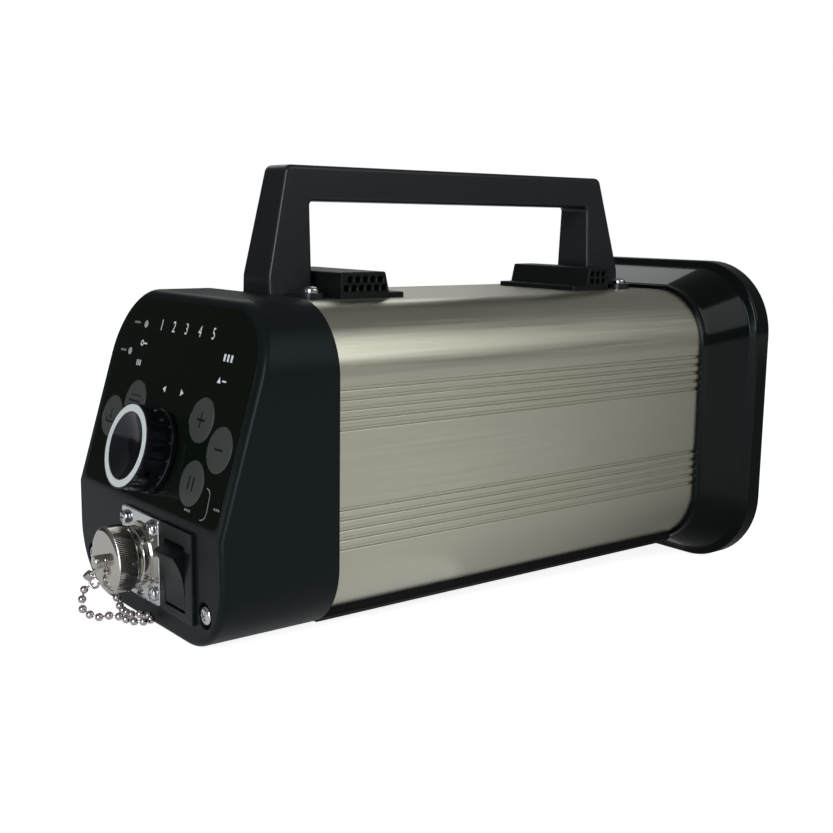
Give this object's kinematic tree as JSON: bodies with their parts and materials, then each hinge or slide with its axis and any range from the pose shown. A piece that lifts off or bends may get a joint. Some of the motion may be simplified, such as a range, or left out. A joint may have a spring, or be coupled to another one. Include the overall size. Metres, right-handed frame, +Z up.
{
  "type": "xenon stroboscope",
  "caption": "Hand-held xenon stroboscope: square alloy body, slanted rear control panel with dial, flared front hood, top handle and a capped rear connector.",
  "frame": {"origin": "mouth of the tripod thread, on the underside of the base plate", "axes": "+X forward along the beam, +Y to the lamp's left, +Z up towards the handle"},
  "size_m": [0.2547, 0.12, 0.1515],
  "materials": {
    "anodised_body": "satin champagne anodised extrusion",
    "cap_black": "satin black moulding",
    "hood_black": "gloss black moulding",
    "handle_black": "satin black moulding",
    "base_black": "dull black moulding",
    "vent_black": "satin black moulding",
    "overlay_black": "glossy printed polyester overlay",
    "window_smoke": "dark smoked window",
    "lamp_white": "diffused indicator lens",
    "key_grey": "grey printed key face",
    "knob_black": "satin black knob",
    "ring_grey": "pale grey-green inlay",
    "nickel": "nickel plated",
    "screw_chrome": "bright plated",
    "chain_nickel": "nickel plated beads",
    "switch_black": "black switch moulding",
    "rubber_black": "black seal",
    "insulator_black": "black insulator",
    "contact_gold": "gold plated contacts",
    "bush_brass": "turned brass",
    "mirror_alu": "bright anodised reflector",
    "socket_white": "white steatite",
    "tube_glass": "clear quartz tube",
    "lens_clear": "clear polycarbonate window",
    "board_green": "green circuit board",
    "parts_dark": "dark component bodies",
    "coil_copper": "lacquered copper winding",
    "can_blue": "sleeved capacitor cans",
    "cell_blue": "sleeved battery cells"
  },
  "bodies": {
    "body": {"body_tube": "anodised_body", "rear_cap": "cap_black", "front_hood": "hood_black", "base_plate": "base_black", "base_screws": "screw_chrome", "tripod_bush": "bush_brass", "handle": "handle_black", "handle_screws": "screw_chrome", "rear_vent_cover": "vent_black", "front_vent_cover": "vent_black", "keypad_overlay": "overlay_black", "display_window": "window_smoke", "indicator_lamps": "lamp_white", "encoder_body": "parts_dark", "encoder_nut": "nickel", "display_board": "board_green", "board_spacers": "bush_brass", "digit_display": "parts_dark", "connector_shell": "nickel", "connector_insert": "insulator_black", "connector_pins": "contact_gold", "connector_screws": "screw_chrome", "bead_chain": "chain_nickel", "chain_eyelet": "chain_nickel", "switch_housing": "switch_black", "switch_terminals": "contact_gold", "rear_cap_screws": "screw_chrome", "hood_screws": "screw_chrome", "reflector": "mirror_alu", "tube_socket": "socket_white", "flash_tube": "tube_glass", "lens_gasket": "rubber_black", "lens": "lens_clear", "lens_frame": "cap_black", "power_board": "board_green", "transformer": "parts_dark", "trigger_coil": "coil_copper", "main_capacitors": "can_blue", "battery_pack": "cell_blue"},
    "dial": {"dial_knob": "knob_black", "knob_ring": "ring_grey", "encoder_shaft": "nickel"},
    "rocker": {"switch_rocker": "switch_black"},
    "swivel": {"cap_swivel": "chain_nickel"},
    "dust_cap": {"dust_cap": "nickel", "cap_gasket": "rubber_black"},
    "button_1": {"button_1": "key_grey"},
    "button_2": {"button_2": "key_grey"},
    "button_3": {"button_3": "key_grey"},
    "button_4": {"button_4": "key_grey"},
    "button_5": {"button_5": "key_grey"},
    "button_6": {"button_6": "key_grey"}
  },
  "joints": [
    {"name": "dial_turn", "type": "hinge", "parent": "body", "child": "dial", "pos_m": [-0.11839, 0, 0.05226], "axis": [-0.9588, 0, 0.284], "continuous": true},
    {"name": "button_1_press", "type": "slide", "parent": "body", "child": "button_1", "axis": [0.9588, 0, -0.284], "range_m": [0, 0.0004], "stiffness_N_per_m": 1500},
    {"name": "button_2_press", "type": "slide", "parent": "body", "child": "button_2", "axis": [0.9588, 0, -0.284], "range_m": [0, 0.0004], "stiffness_N_per_m": 1500},
    {"name": "button_3_press", "type": "slide", "parent": "body", "child": "button_3", "axis": [0.9588, 0, -0.284], "range_m": [0, 0.0004], "stiffness_N_per_m": 1500},
    {"name": "button_4_press", "type": "slide", "parent": "body", "child": "button_4", "axis": [0.9588, 0, -0.284], "range_m": [0, 0.0004], "stiffness_N_per_m": 1500},
    {"name": "button_5_press", "type": "slide", "parent": "body", "child": "button_5", "axis": [0.9588, 0, -0.284], "range_m": [0, 0.0004], "stiffness_N_per_m": 1500},
    {"name": "button_6_press", "type": "slide", "parent": "body", "child": "button_6", "axis": [0.9588, 0, -0.284], "range_m": [0, 0.0004], "stiffness_N_per_m": 1500},
    {"name": "rocker_tip", "type": "hinge", "parent": "body", "child": "rocker", "pos_m": [-0.1209, -0.0249, 0.02], "axis": [0, -1, 0], "range_deg": [0, 20]},
    {"name": "swivel_travel", "type": "slide", "parent": "body", "child": "swivel", "axis": [-1, 0, 0], "range_m": [0, 0.004]},
    {"name": "cap_turn", "type": "hinge", "parent": "swivel", "child": "dust_cap", "pos_m": [-0.135, 0, 0.02], "axis": [-1, 0, 0], "range_deg": [0, 1440]}
  ],
  "couplings": [
    {"joint": "cap_turn", "follows": "swivel_travel", "rad_per_m": 6283.2}
  ]
}
